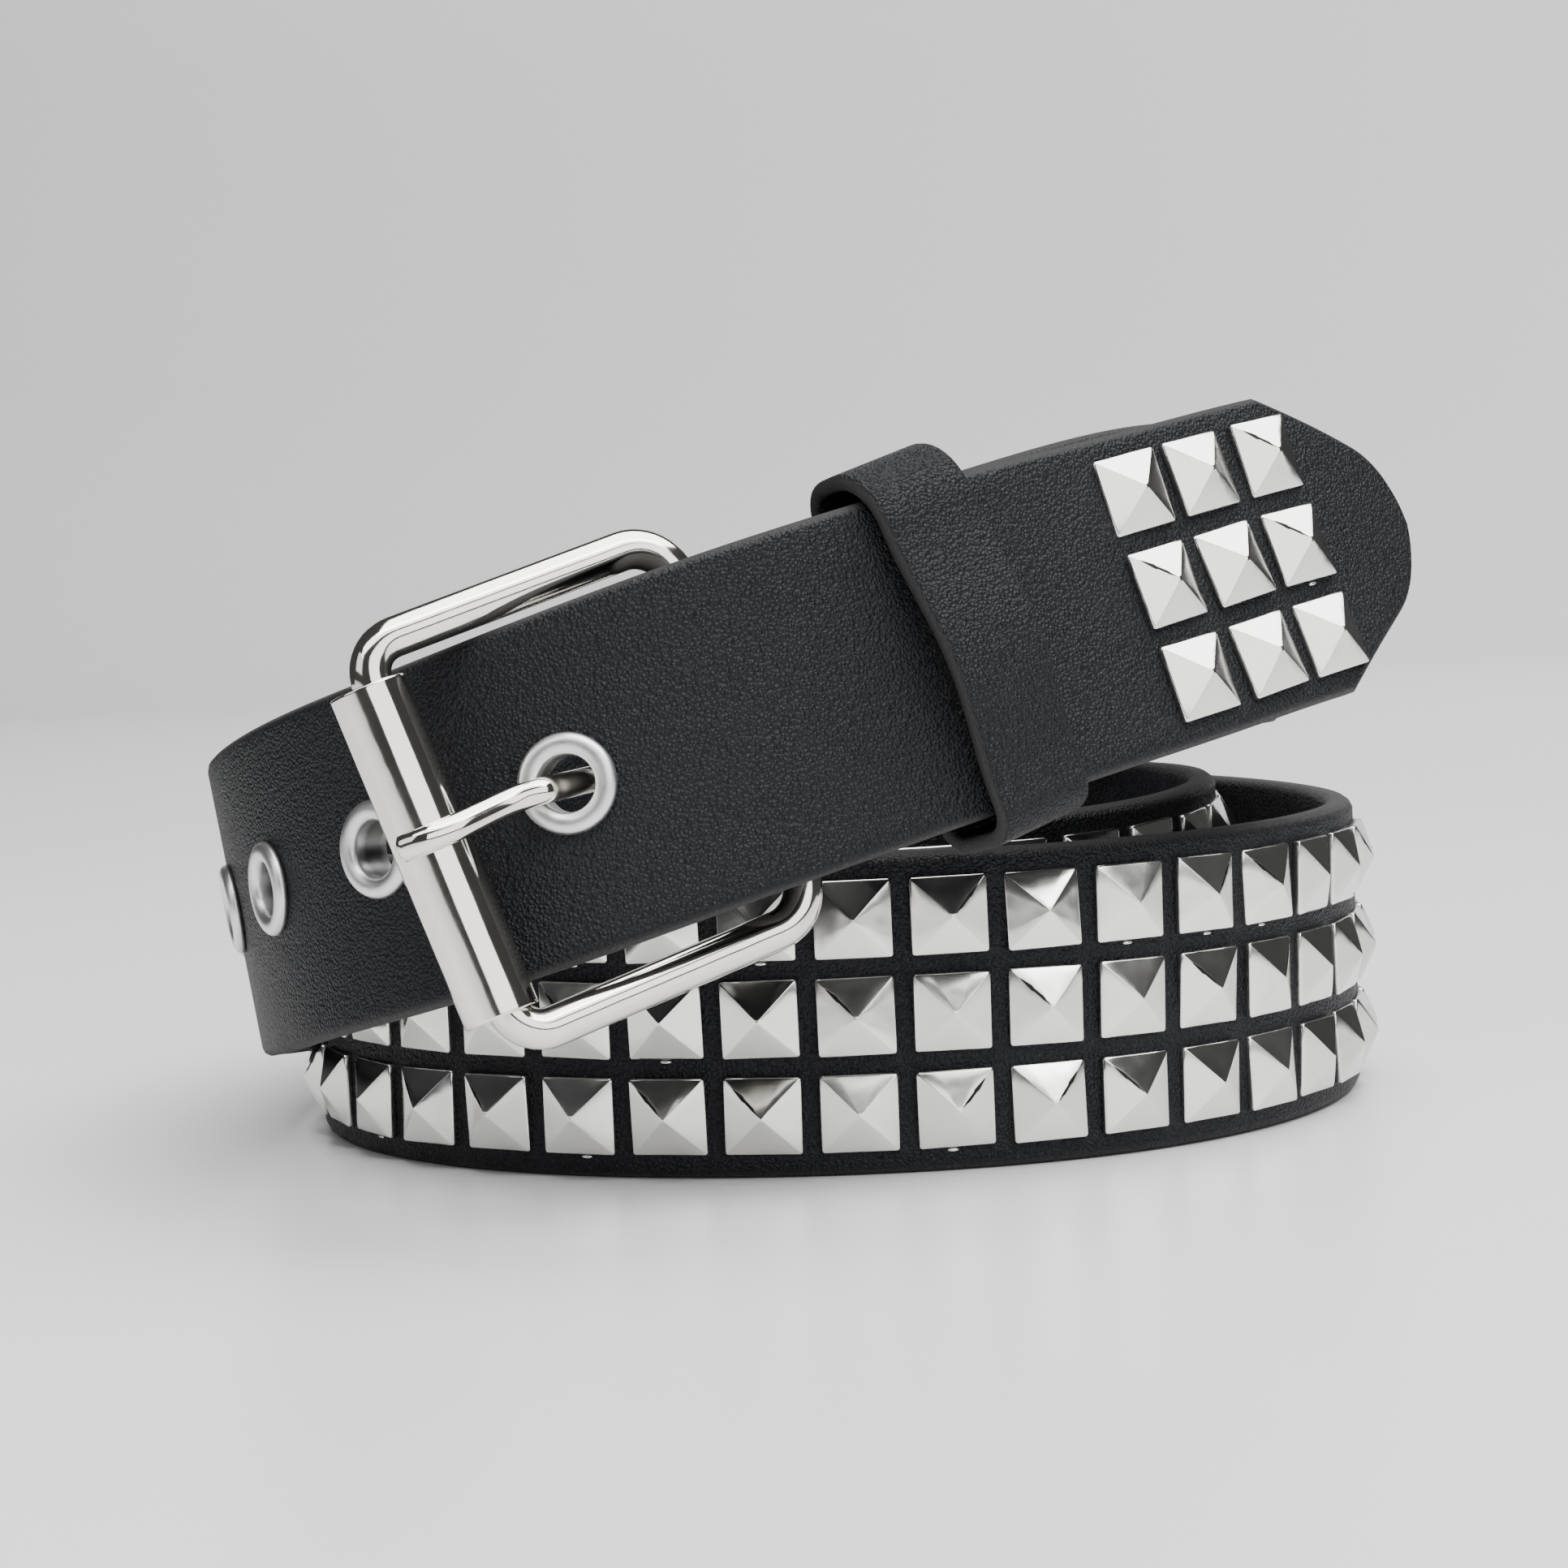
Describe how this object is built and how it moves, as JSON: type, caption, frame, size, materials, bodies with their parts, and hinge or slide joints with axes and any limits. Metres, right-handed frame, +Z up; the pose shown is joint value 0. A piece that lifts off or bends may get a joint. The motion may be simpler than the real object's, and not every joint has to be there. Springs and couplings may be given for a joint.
{
  "type": "studded belt",
  "caption": "Fastened leather belt lying coiled on its edge, with rows of square pyramid studs, metal eyelets, a roller buckle and a leather keeper.",
  "frame": {"origin": "middle of the base of the bounding box, on the surface that the belt lies on", "axes": "+Z up along the coil's axis, +Y away from the viewer of the buckle side, +X to that viewer's right"},
  "size_m": [0.1544, 0.181, 0.0902],
  "materials": {
    "strap_leather": "black, fine pebble grain, satin",
    "keeper_leather": "black, fine pebble grain, satin",
    "bright_nickel": "polished nickel plate",
    "satin_nickel": "satin nickel plate"
  },
  "bodies": {
    "root": {"studded_strap": "strap_leather", "tip_stud_1_1": "bright_nickel", "tip_stud_1_2": "bright_nickel", "tip_stud_1_3": "bright_nickel", "tip_stud_2_1": "bright_nickel", "tip_stud_2_2": "bright_nickel", "tip_stud_2_3": "bright_nickel", "tip_stud_3_1": "bright_nickel", "tip_stud_3_2": "bright_nickel", "tip_stud_3_3": "bright_nickel", "eyelet_1": "satin_nickel", "eyelet_2": "satin_nickel", "eyelet_3": "satin_nickel", "eyelet_4": "satin_nickel", "eyelet_5": "satin_nickel", "eyelet_6": "satin_nickel", "eyelet_7": "satin_nickel", "buckle_frame": "bright_nickel", "buckle_roller": "bright_nickel", "buckle_prong": "bright_nickel", "keeper": "keeper_leather"}
  },
  "joints": []
}
